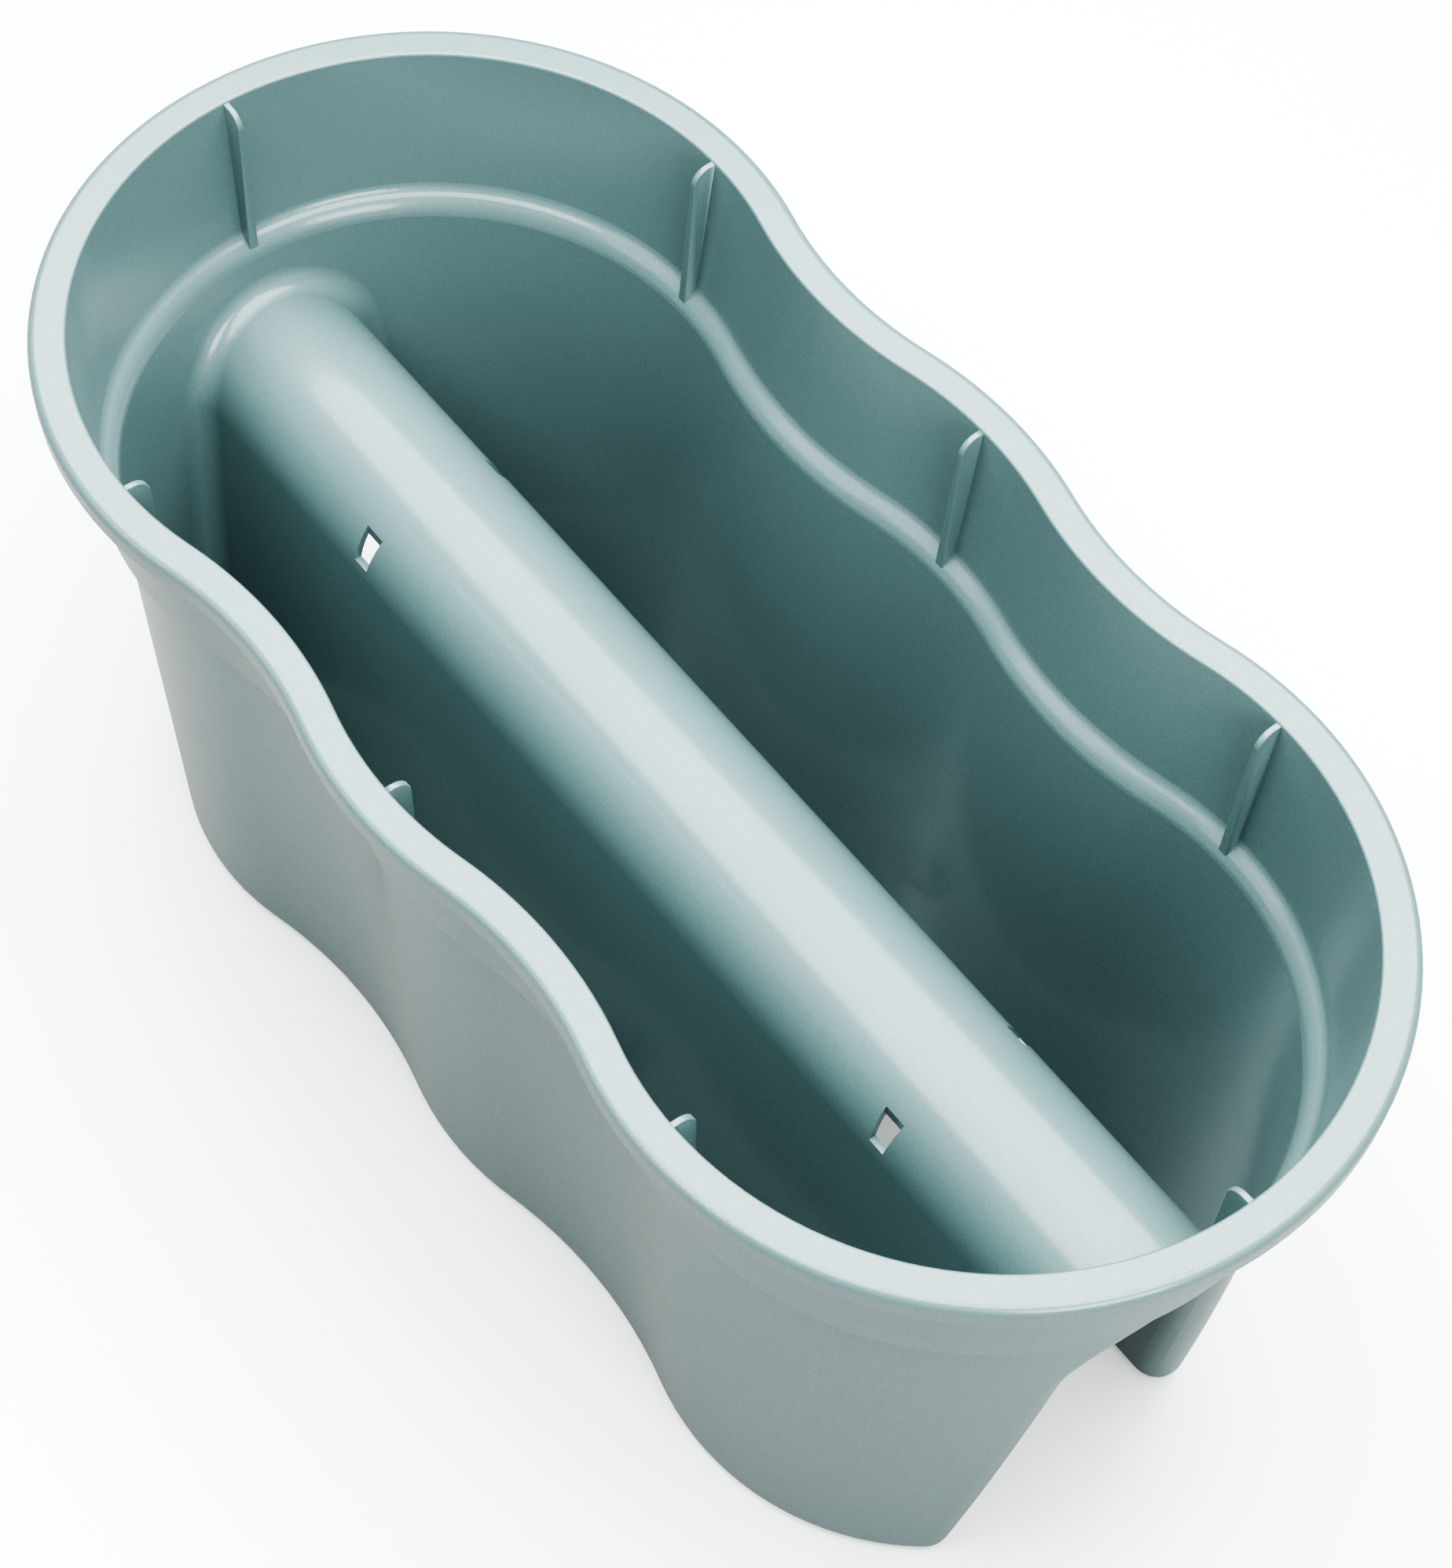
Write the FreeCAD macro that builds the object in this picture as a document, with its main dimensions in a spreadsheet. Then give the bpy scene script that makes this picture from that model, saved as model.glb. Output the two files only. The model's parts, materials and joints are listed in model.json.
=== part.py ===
"""Rail feed trough: a one-piece moulded saddle trough with a three-lobed plan.

The trough stands on two long pockets that hang either side of a tunnel, the saddle,
which drops over a fence rail. The moulding is kept as named regions that meet face to
face, so that each can be measured and collided on its own. Two drain bungs are
separate pieces that lift out of the pocket floors.

Frame: millimetres, +Z up, X along the trough, origin on the ground under its middle.
"inset" is a distance inward from the rim's outer edge, measured square to it.
"""
import FreeCAD, Part
import math
import os
import Sketcher

V = FreeCAD.Vector
TINY = 0.001
ON_FACE = 0.01
EDGE_SAMPLES = 5

SIZES = {
    # plan outline: three lobes on each side, joined by waists
    "length": 600.0,
    "end_radius": 143.5,
    "lobe_radius": 164.7,
    "lobe_shortfall": 0.6,
    "waist_radius": 155.0,
    "height": 281.0,
    # rim: flat band with a skirt that hangs outside the wall
    "rim_width": 13.8,
    "rim_thickness": 3.0,
    "rim_corner": 4.0,
    "rim_lip": 1.2,
    "skirt_drop": 10.0,
    "skirt_lean": 0.3,
    "skirt_thickness": 2.4,
    # upper wall, ledge and lower wall
    "wall": 2.7,
    "upper_draft": 5.6,
    "ledge_depth": 66.0,
    "ledge_width": 6.6,
    "ledge_drop": 5.2,
    "ledge_round": 10.0,
    "ledge_hollow": 5.0,
    "band_depth": 56.0,
    "shoulder_depth": 67.0,
    "shoulder_drop": 5.8,
    "collar_depth": 80.0,
    "lower_draft": 3.73,
    "floor_thickness": 3.0,
    "foot_round": 8.0,
    # saddle: round-topped tunnel that drops over the rail
    "arch_radius": 35.5,
    "arch_centre_depth": 129.0,
    "saddle_wall": 2.8,
    "flank_draft": 5.6,
    "saddle_blend": 8.0,
    # strap slots through the saddle's shoulders
    "slot_offset": 156.5,
    "slot_width": 7.4,
    "slot_draft": 4.5,
    "slot_top_reach": 27.3,
    "slot_sill_rise": 8.1,
    # ribs that keep stacked troughs from jamming
    "rib_thickness": 2.4,
    "rib_side_draft": 0.65,
    "rib_root": 1.0,
    "rib_reach": 9.0,
    "rib_top_depth": 1.0,
    "rib_front_draft": 2.2,
    "rib_nose": 7.0,
    "rib_foot_drop": 0.5,
    # gussets between the skirt and the upper wall
    "gusset_thickness": 1.8,
    "gusset_drop": 26.0,
    # drain bungs in the pocket floors
    "drain_bore": 14.0,
    "bung_fit": 0.3,
    "bung_flange_radius": 12.0,
    "bung_flange_height": 2.5,
    "bung_tab_width": 12.0,
    "bung_tab_thickness": 3.0,
    "bung_tab_height": 7.0,
    "bung_recess": 0.3,
}

doc = FreeCAD.newDocument("RailFeedTrough")
sheet = doc.addObject("Spreadsheet::Sheet", "Sizes")
for row, (alias, value) in enumerate(SIZES.items(), start=1):
    sheet.set(f"A{row}", alias)
    sheet.set(f"B{row}", str(value))
    sheet.setAlias(f"B{row}", alias)
doc.recompute()

# Formulas over the sheet's cells, written once and used by every piece.
WALL_INSET = "(Sizes.rim_width + {depth} * tan(Sizes.upper_draft * 1deg))"
LEDGE_BACK = WALL_INSET.format(depth="Sizes.ledge_depth")
LEDGE_FRONT = f"({LEDGE_BACK} + Sizes.ledge_width)"
LEDGE_FRONT_DEPTH = "(Sizes.ledge_depth + Sizes.ledge_drop)"
LOBE_REACH = "(Sizes.end_radius - Sizes.lobe_shortfall)"
ARCH_LEVEL = "(Sizes.height - Sizes.arch_centre_depth)"
FLANK_TAN = "tan(Sizes.flank_draft * 1deg)"
FLANK_COS = "cos(Sizes.flank_draft * 1deg)"
FLANK_SIN = "sin(Sizes.flank_draft * 1deg)"
LOWER_TAN = "tan(Sizes.lower_draft * 1deg)"
INNER_FOOT_ROUND = "(Sizes.foot_round - Sizes.wall)"
TRAY = f"(Sizes.floor_thickness + {INNER_FOOT_ROUND})"


def size(name):
    """The value of one named size."""
    return float(sheet.get(name))


def plan_centres():
    """Centres of the right end arc, the +y lobe arc and the +x +y waist arc."""
    end = V(size("length") / 2 - size("end_radius"), 0, 0)
    lobe = V(0, size("end_radius") - size("lobe_shortfall") - size("lobe_radius"), 0)
    to_end = size("end_radius") + size("waist_radius")
    to_lobe = size("lobe_radius") + size("waist_radius")
    apart = (lobe - end).Length
    along = (to_end ** 2 - to_lobe ** 2 + apart ** 2) / (2 * apart)
    across = math.sqrt(to_end ** 2 - along ** 2)
    towards = (lobe - end).normalize()
    waist = end + towards * along + V(towards.y, -towards.x, 0) * across
    return end, lobe, waist


END, LOBE, WAIST = plan_centres()
END_ANGLE = math.atan2(WAIST.y - END.y, WAIST.x - END.x)
LOBE_ANGLE = math.atan2(WAIST.y - LOBE.y, WAIST.x - LOBE.x)


def plan_arcs(inset):
    """The outline at an inset: (centre, radius, start, end, concave) anticlockwise from +x."""
    end_r = size("end_radius") - inset
    lobe_r = size("lobe_radius") - inset
    waist_r = size("waist_radius") + inset
    arcs = []
    for turn in (0, 1):
        flip = -1 if turn else 1
        half = math.pi * turn
        end = V(END.x * flip, END.y * flip, 0)
        lobe = V(LOBE.x * flip, LOBE.y * flip, 0)
        near = V(WAIST.x * flip, WAIST.y * flip, 0)
        far = V(-WAIST.x * flip, WAIST.y * flip, 0)
        arcs.append((end, end_r, half, half + END_ANGLE, "end"))
        arcs.append((near, waist_r, half + LOBE_ANGLE + math.pi, half + END_ANGLE + math.pi, "waist"))
        arcs.append((lobe, lobe_r, half + LOBE_ANGLE, half + math.pi - LOBE_ANGLE, "lobe"))
        arcs.append((far, waist_r, half - END_ANGLE, half - LOBE_ANGLE, "waist"))
        mirrored = V(-END.x * flip, END.y * flip, 0)
        arcs.append((mirrored, end_r, half + math.pi - END_ANGLE, half + math.pi, "end"))
    return arcs


RADII = {"end": "Sizes.end_radius - ({0})", "lobe": "Sizes.lobe_radius - ({0})",
         "waist": "Sizes.waist_radius + ({0})"}
CENTRES = {
    "end": ("Sizes.length / 2 - Sizes.end_radius", "0"),
    "lobe": ("0", f"{LOBE_REACH} - Sizes.lobe_radius"),
}


def value_of(formula):
    """A sheet formula's value, worked out without touching the sheet."""
    result = sheet.evalExpression(formula)
    return float(getattr(result, "Value", result))


def bind(thing, prop, formula):
    """Ties one property to a sheet formula."""
    thing.setExpression(prop, formula)


def origin_plane(body, role):
    """One of a body's own origin planes, by its role."""
    return next(f for f in body.Origin.OriginFeatures if f.Role == role)


def new_sketch(body, name, role):
    """A sketch in a body, flat on one of its origin planes."""
    sketch = body.newObject("Sketcher::SketchObject", name)
    sketch.AttachmentSupport = [(origin_plane(body, role), "")]
    sketch.MapMode = "FlatFace"
    return sketch


def hold(sketch, constraint, formula=None):
    """Adds a constraint and ties its value to a sheet formula."""
    index = sketch.addConstraint(constraint)
    if formula is not None:
        bind(sketch, f"Constraints[{index}]", formula)
    return index


def hold_point(sketch, geometry, corner, x_formula, y_formula, at):
    """Places one point of the sketch by two sheet formulas."""
    for kind, value, formula in (("DistanceX", at.x, x_formula), ("DistanceY", at.y, y_formula)):
        if formula == "0":
            axis = -2 if kind == "DistanceX" else -1
            sketch.addConstraint(Sketcher.Constraint("PointOnObject", geometry, corner, axis))
            continue
        hold(sketch, Sketcher.Constraint(kind, -1, 1, geometry, corner, value), formula)


def outline_sketch(body, name, inset, level=None):
    """The three-lobed outline at an inset, as tangent arcs on the body's XY plane."""
    sketch = new_sketch(body, name, "XY_Plane")
    arcs = plan_arcs(value_of(inset))
    for centre, radius, start, stop, _ in arcs:
        circle = Part.Circle(centre, V(0, 0, 1), radius)
        sketch.addGeometry(Part.ArcOfCircle(circle, start, stop), False)
    count = len(arcs)
    for index, (centre, radius, _, _, kind) in enumerate(arcs):
        after = (index + 1) % count
        leave = 1 if kind == "waist" else 2
        enter = 2 if arcs[after][4] == "waist" else 1
        if kind == "end" and arcs[after][4] == "end":
            sketch.addConstraint(Sketcher.Constraint("Coincident", index, leave, after, enter))
            sketch.addConstraint(Sketcher.Constraint("Coincident", index, 3, after, 3))
            sketch.addConstraint(Sketcher.Constraint("PointOnObject", index, leave, -1))
        else:
            sketch.addConstraint(Sketcher.Constraint("Tangent", index, leave, after, enter))
        shares_circle = kind == "end" and index >= count // 2
        if shares_circle:
            continue
        hold(sketch, Sketcher.Constraint("Radius", index, radius), RADII[kind].format(inset))
        if kind == "waist":
            continue
        x_formula, y_formula = CENTRES[kind]
        if centre.x < -TINY:
            x_formula = f"-({x_formula})"
        if index > count // 2:
            y_formula = f"-({y_formula})"
        hold_point(sketch, index, 3, x_formula, y_formula, centre)
    if level is not None:
        bind(sketch, "AttachmentOffset.Base.z", level)
    return sketch


def profile_sketch(body, name, corners, role="XZ_Plane"):
    """A closed polygon whose corners are pairs of sheet formulas."""
    sketch = new_sketch(body, name, role)
    places = [V(value_of(x), value_of(y), 0) for x, y in corners]
    count = len(corners)
    for index in range(count):
        sketch.addGeometry(Part.LineSegment(places[index], places[(index + 1) % count]), False)
    for index, (x_formula, y_formula) in enumerate(corners):
        after = (index + 1) % count
        sketch.addConstraint(Sketcher.Constraint("Coincident", index, 2, after, 1))
        hold_point(sketch, index, 1, x_formula, y_formula, places[index])
    return sketch


def section(*corners):
    """Wall section corners from (inset, depth below the rim) formulas."""
    return [(f"Sizes.length / 2 - ({inset})", f"Sizes.height - ({depth})") for inset, depth in corners]


def ring(name, corners):
    """A body whose section sweeps round the whole outline."""
    body = doc.addObject("PartDesign::Body", name)
    path = outline_sketch(body, name + "_path", "0")
    profile = profile_sketch(body, name + "_section", section(*corners))
    doc.recompute()
    pipe = body.newObject("PartDesign::AdditivePipe", name + "_pipe")
    pipe.Profile = profile
    pipe.Spine = (path, [])
    doc.recompute()
    return body, pipe


def lower_inset(depth, outside):
    """Formula for the lower wall's inset at a depth, on its outer or inner face."""
    inner = f"({LEDGE_FRONT} + (({depth}) - {LEDGE_FRONT_DEPTH}) * {LOWER_TAN})"
    return f"({inner} - Sizes.wall)" if outside else inner


def ledge_nose_cut():
    """Formula for how far the ledge's nose round stays short of its sharp corner."""
    turn = f"(90deg - Sizes.lower_draft * 1deg - atan(Sizes.ledge_drop / Sizes.ledge_width))"
    return f"(Sizes.ledge_round * (1 / cos({turn} / 2) - 1))"


def drain_reach():
    """Formula for how far a drain lies from the middle plane: halfway across its pocket's floor."""
    flank = f"(Sizes.arch_radius / {FLANK_COS} + ({ARCH_LEVEL} - Sizes.floor_thickness) * {FLANK_TAN})"
    wall = f"({LOBE_REACH} - {lower_inset('Sizes.height - Sizes.floor_thickness', False)})"
    return f"({flank} + {wall}) / 2"


def arch_profile(body, name, shrink):
    """The tunnel's section: a round arch whose flanks lean out down to below the ground."""
    radius = f"(Sizes.arch_radius - ({shrink}))"
    level = ARCH_LEVEL
    below = "Sizes.foot_round"
    side_y = f"{radius} * {FLANK_COS}"
    side_z = f"{level} + {radius} * {FLANK_SIN}"
    foot_y = f"({radius} / {FLANK_COS} + ({level} + {below}) * {FLANK_TAN})"
    sketch = new_sketch(body, name, "YZ_Plane")
    side = V(value_of(side_y), value_of(side_z), 0)
    foot = V(value_of(foot_y), -size("foot_round"), 0)
    lean = math.radians(size("flank_draft"))
    circle = Part.Circle(V(0, value_of(level), 0), V(0, 0, 1), value_of(radius))
    sketch.addGeometry(Part.ArcOfCircle(circle, lean, math.pi - lean), False)
    left_side = V(-side.x, side.y, 0)
    left_foot = V(-foot.x, foot.y, 0)
    sketch.addGeometry(Part.LineSegment(left_side, left_foot), False)
    sketch.addGeometry(Part.LineSegment(left_foot, foot), False)
    sketch.addGeometry(Part.LineSegment(foot, side), False)
    sketch.addConstraint(Sketcher.Constraint("Tangent", 0, 2, 1, 1))
    sketch.addConstraint(Sketcher.Constraint("Coincident", 1, 2, 2, 1))
    sketch.addConstraint(Sketcher.Constraint("Coincident", 2, 2, 3, 1))
    sketch.addConstraint(Sketcher.Constraint("Tangent", 3, 2, 0, 1))
    hold_point(sketch, 0, 3, "0", level, V(0, value_of(level), 0))
    hold(sketch, Sketcher.Constraint("Radius", 0, value_of(radius)), radius)
    hold_point(sketch, 1, 2, f"-({foot_y})", f"-{below}", left_foot)
    hold_point(sketch, 2, 2, foot_y, f"-{below}", foot)
    return sketch


def edges_where(shape, test):
    """Names of the edges whose every sampled point passes a test."""
    names = []
    for number, edge in enumerate(shape.Edges, start=1):
        points = edge.discretize(EDGE_SAMPLES)
        if all(test(p) for p in points):
            names.append(f"Edge{number}")
    return names


def round_edges(body, name, base, edges, radius):
    """A fillet on chosen edges of a body's last feature."""
    fillet = body.newObject("PartDesign::Fillet", name)
    fillet.Base = (base, edges)
    bind(fillet, "Radius", radius)
    doc.recompute()
    return fillet


def on_tunnel(point, radius):
    """Whether a point lies on the tunnel's section of a given arch radius."""
    level = value_of(ARCH_LEVEL)
    lean = math.radians(size("flank_draft"))
    side_z = level + radius * math.sin(lean)
    if point.z >= side_z:
        return abs(math.hypot(point.y, point.z - level) - radius) < ON_FACE
    return abs(abs(point.y) - radius / math.cos(lean) - (level - point.z) * math.tan(lean)) < ON_FACE


def lower_form(name, outside, bottom, shrink, foot_round, mouth_round):
    """The solid inside one face of the lower wall, with the tunnel cut through it."""
    body = doc.addObject("PartDesign::Body", name)
    top = lower_inset("Sizes.collar_depth", outside)
    base = lower_inset(f"Sizes.height - ({bottom})", outside)
    high = outline_sketch(body, name + "_top", top, "Sizes.height - Sizes.collar_depth")
    low = outline_sketch(body, name + "_base", base, bottom)
    doc.recompute()
    loft = body.newObject("PartDesign::AdditiveLoft", name + "_loft")
    loft.Profile = high
    loft.Sections = [(low, [""])]
    loft.Ruled = True
    doc.recompute()
    tunnel = arch_profile(body, name + "_tunnel", shrink)
    doc.recompute()
    cut = body.newObject("PartDesign::Pocket", name + "_cut")
    cut.Profile = tunnel
    cut.Type = "ThroughAll"
    cut.Midplane = True
    doc.recompute()
    radius = size("arch_radius") - value_of(shrink)
    foot = value_of(bottom)
    mouth = edges_where(cut.Shape, lambda p: on_tunnel(p, radius) and abs(p.x) > size("end_radius"))
    blend = round_edges(body, name + "_mouth", cut, mouth, mouth_round)
    sole = edges_where(blend.Shape, lambda p: abs(p.z - foot) < TINY)
    round_edges(body, name + "_foot", blend, sole, foot_round)
    return body


def cut(name, base, tool):
    """A Part::Cut of two objects."""
    result = doc.addObject("Part::Cut", name)
    result.Base = base
    result.Tool = tool
    return result


def common(name, base, tool):
    """A Part::Common of two objects."""
    result = doc.addObject("Part::Common", name)
    result.Base = base
    result.Tool = tool
    return result


def block(name, lengths, corner):
    """A Part::Box from formulas for its three lengths and its lowest corner."""
    box = doc.addObject("Part::Box", name)
    for prop, formula in zip(("Length", "Width", "Height"), lengths):
        bind(box, prop, formula)
    for axis, formula in zip("xyz", corner):
        bind(box, f"Placement.Base.{axis}", formula)
    return box


def post(name, radius, height, x, y, z):
    """An upright Part::Cylinder from formulas."""
    cylinder = doc.addObject("Part::Cylinder", name)
    bind(cylinder, "Radius", radius)
    bind(cylinder, "Height", height)
    for axis, formula in zip("xyz", (x, y, z)):
        bind(cylinder, f"Placement.Base.{axis}", formula)
    return cylinder


def waist_x():
    """Formula for the x at which a waist is narrowest: its arc's centre, between end and lobe arcs."""
    end_x = "(Sizes.length / 2 - Sizes.end_radius)"
    lobe_y = f"({LOBE_REACH} - Sizes.lobe_radius)"
    to_end = "(Sizes.end_radius + Sizes.waist_radius)"
    to_lobe = "(Sizes.lobe_radius + Sizes.waist_radius)"
    apart = f"sqrt({end_x} ^ 2 + {lobe_y} ^ 2)"
    along = f"(({to_end} ^ 2 - {to_lobe} ^ 2 + {apart} ^ 2) / (2 * {apart}))"
    across = f"sqrt({to_end} ^ 2 - {along} ^ 2)"
    return f"({end_x} - {end_x} / {apart} * {along} + {lobe_y} / {apart} * {across})"


def make_zones():
    """Boxes that part the moulding at its waists and at its middle plane."""
    half_long = "Sizes.length / 2"
    middle = waist_x()
    spans = {"left": (f"-({half_long})", f"({half_long}) - {middle}"),
             "middle": (f"-{middle}", f"2 * {middle}"),
             "right": (middle, f"({half_long}) - {middle}")}
    zones = {}
    for span, (low_x, long) in spans.items():
        zones[f"{span}_end"] = block(f"{span}_zone", (long, "2 * Sizes.end_radius", "Sizes.height"),
                                     (low_x, "-Sizes.end_radius", "0"))
        for side, low_y in (("front", "-Sizes.end_radius"), ("rear", "0")):
            zones[f"{side}_{span}"] = block(
                f"{side}_{span}_zone",
                (long, "Sizes.end_radius", f"Sizes.height - {TRAY}"),
                (low_x, low_y, TRAY),
            )
    doc.recompute()
    return zones


RING_ZONES = ("left_end", "right_end", "front_middle", "rear_middle")
POCKET_ZONES = ("front_left", "front_middle", "front_right", "rear_left", "rear_middle", "rear_right")


def split(whole, word, zones, names):
    """The regions of one swept ring or skin, one for each named zone."""
    pieces = [common(f"{name}_{word}", whole, zones[name]) for name in names]
    doc.recompute()
    return pieces


def make_rim():
    """Flat band on top of the wall, with a skirt that hangs outside it."""
    inner_foot = WALL_INSET.format(depth="Sizes.rim_thickness")
    body, pipe = ring("rim_ring", [
        ("0", "0"),
        ("Sizes.rim_width", "0"),
        (inner_foot, "Sizes.rim_thickness"),
        ("Sizes.skirt_thickness + Sizes.rim_lip", "Sizes.rim_thickness"),
        ("Sizes.skirt_lean + Sizes.skirt_thickness", "Sizes.skirt_drop"),
        ("Sizes.skirt_lean", "Sizes.skirt_drop"),
        ("0", "Sizes.rim_corner"),
    ])
    top = size("height")
    outer = plan_test(0)
    edges = edges_where(pipe.Shape, lambda p: abs(p.z - top) < TINY and outer(p))
    rounded = round_edges(body, "rim_outer_round", pipe, edges, "Sizes.rim_corner - Sizes.rim_lip / 2")
    inner = plan_test(size("rim_width"))
    edges = edges_where(rounded.Shape, lambda p: abs(p.z - top) < TINY and inner(p))
    round_edges(body, "rim_inner_round", rounded, edges, "Sizes.rim_lip")
    return body


def plan_test(inset):
    """A test for points that lie on the outline at an inset."""
    def on_outline(point):
        for centre, radius, _, _, _ in plan_arcs(inset):
            if abs(math.hypot(point.x - centre.x, point.y - centre.y) - radius) < ON_FACE:
                return True
        return False
    return on_outline


def make_upper_wall():
    """Wall from under the rim down to the ledge band."""
    top = WALL_INSET.format(depth="Sizes.rim_thickness")
    foot = WALL_INSET.format(depth="Sizes.band_depth")
    return ring("upper_wall_ring", [
        (f"{top} - Sizes.wall", "Sizes.rim_thickness"),
        (top, "Sizes.rim_thickness"),
        (foot, "Sizes.band_depth"),
        (f"{foot} - Sizes.wall", "Sizes.band_depth"),
    ])[0]


def make_ledge():
    """Step where the wall turns in, above the pockets."""
    top = WALL_INSET.format(depth="Sizes.band_depth")
    shoulder = WALL_INSET.format(depth="Sizes.shoulder_depth")
    shoulder_foot = "Sizes.shoulder_depth + Sizes.shoulder_drop"
    body, pipe = ring("ledge_ring", [
        (f"{top} - Sizes.wall", "Sizes.band_depth"),
        (top, "Sizes.band_depth"),
        (LEDGE_BACK, "Sizes.ledge_depth"),
        (LEDGE_FRONT, LEDGE_FRONT_DEPTH),
        (lower_inset("Sizes.collar_depth", False), "Sizes.collar_depth"),
        (lower_inset("Sizes.collar_depth", True), "Sizes.collar_depth"),
        (lower_inset(shoulder_foot, True), shoulder_foot),
        (f"{shoulder} - Sizes.wall", "Sizes.shoulder_depth"),
    ])
    nose_z = size("height") - value_of(LEDGE_FRONT_DEPTH)
    back_z = size("height") - size("ledge_depth")
    edges = edges_where(pipe.Shape, lambda p: abs(p.z - nose_z) < TINY)
    rounded = round_edges(body, "ledge_nose_round", pipe, edges, "Sizes.ledge_round")
    edges = edges_where(rounded.Shape, lambda p: abs(p.z - back_z) < TINY)
    round_edges(body, "ledge_back_hollow", rounded, edges, "Sizes.ledge_hollow")
    return body


def turned_body(name, x_formula, y_formula, angle):
    """A body whose own -X axis points outward from the wall at a place on the outline."""
    body = doc.addObject("PartDesign::Body", name)
    bind(body, "Placement.Base.x", x_formula)
    bind(body, "Placement.Base.y", y_formula)
    body.Placement.Rotation = FreeCAD.Rotation(V(0, 0, 1), angle)
    return body


def heights(corners):
    """Corners given by depth under the rim, as corners given by height above the ground."""
    return [(x, f"Sizes.height - ({depth})") for x, depth in corners]


def plate_pad(body, name, corners, thickness, role="XZ_Plane"):
    """An upright plate: a polygon in one of the body's planes, padded equally both ways."""
    profile = profile_sketch(body, name + "_side", corners, role)
    doc.recompute()
    pad = body.newObject("PartDesign::Pad", name + "_pad")
    pad.Profile = profile
    pad.Midplane = True
    bind(pad, "Length", thickness)
    doc.recompute()
    return pad


def make_slots():
    """The four strap slots, a little wider at the top than at the sill."""
    sill = f"({ARCH_LEVEL} + Sizes.slot_sill_rise)"
    half_sill = "Sizes.slot_width / 2"
    half_top = f"({half_sill} + Sizes.arch_radius * tan(Sizes.slot_draft * 1deg))"
    corners = [(f"-{half_top}", f"{sill} + Sizes.arch_radius"), (f"-{half_sill}", sill),
               (half_sill, sill), (half_top, f"{sill} + Sizes.arch_radius")]
    deep = "(Sizes.arch_radius + Sizes.foot_round - Sizes.slot_top_reach)"
    slots = []
    for end, along in (("left", "-Sizes.slot_offset"), ("right", "Sizes.slot_offset")):
        for side, sign in (("front", "-"), ("rear", "")):
            name = f"{side}_{end}_slot"
            slot = turned_body(name, along, f"{sign}(Sizes.slot_top_reach + {deep} / 2)", 0)
            plate_pad(slot, name, corners, deep)
            slots.append(slot)
    group = doc.addObject("Part::Compound", "strap_slots")
    group.Links = slots
    return group


def make_pockets(zones):
    """The two pockets and the saddle between them, sliced from one moulded skin."""
    outer = lower_form("outer_form", True, "0", "Sizes.saddle_wall",
                       "Sizes.foot_round", "Sizes.saddle_blend + Sizes.saddle_wall")
    cavity = lower_form("cavity_form", False, "Sizes.floor_thickness", "0",
                        INNER_FOOT_ROUND, "Sizes.saddle_blend")
    skin = cut("lower_skin", outer, cavity)
    tunnel = doc.addObject("PartDesign::Body", "saddle_space")
    profile = arch_profile(tunnel, "saddle_space_section", "0")
    doc.recompute()
    pad = tunnel.newObject("PartDesign::Pad", "saddle_space_pad")
    pad.Profile = profile
    pad.Midplane = True
    bind(pad, "Length", "Sizes.length")
    doc.recompute()
    bridge = common("saddle_blank", skin, tunnel)
    outside = cut("pocket_skins", skin, tunnel)
    made = [cut("saddle", bridge, make_slots())]
    for side in ("front", "rear"):
        low_y = "-Sizes.end_radius" if side == "front" else "0"
        plate = block(f"{side}_sole", ("Sizes.length", "Sizes.end_radius", TRAY),
                      ("-Sizes.length / 2", low_y, "0"))
        blank = common(f"{side}_floor_blank", outside, plate)
        reach = f"-{drain_reach()}" if side == "front" else drain_reach()
        bore = post(f"{side}_drain", "Sizes.drain_bore / 2", "2 * Sizes.floor_thickness",
                    "0", reach, "-Sizes.floor_thickness / 2")
        made.append(cut(f"{side}_floor", blank, bore))
    doc.recompute()
    return made + split(outside, "wall", zones, POCKET_ZONES)


def rib_places():
    """Names, places and directions of the eight stations where the outline is widest."""
    end_x = "(Sizes.length / 2)"
    lobe_x = "(Sizes.length / 2 - Sizes.end_radius)"
    places = []
    for side, sign, angle in (("front", "-", 90), ("rear", "", -90)):
        places.append((f"{side}_left", f"-{lobe_x}", f"{sign}Sizes.end_radius", angle))
        places.append((f"{side}_middle", "0", f"{sign}{LOBE_REACH}", angle))
        places.append((f"{side}_right", lobe_x, f"{sign}Sizes.end_radius", angle))
    places.append(("left_end", f"-{end_x}", "0", 0))
    places.append(("right_end", end_x, "0", 180))
    return places


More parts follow.
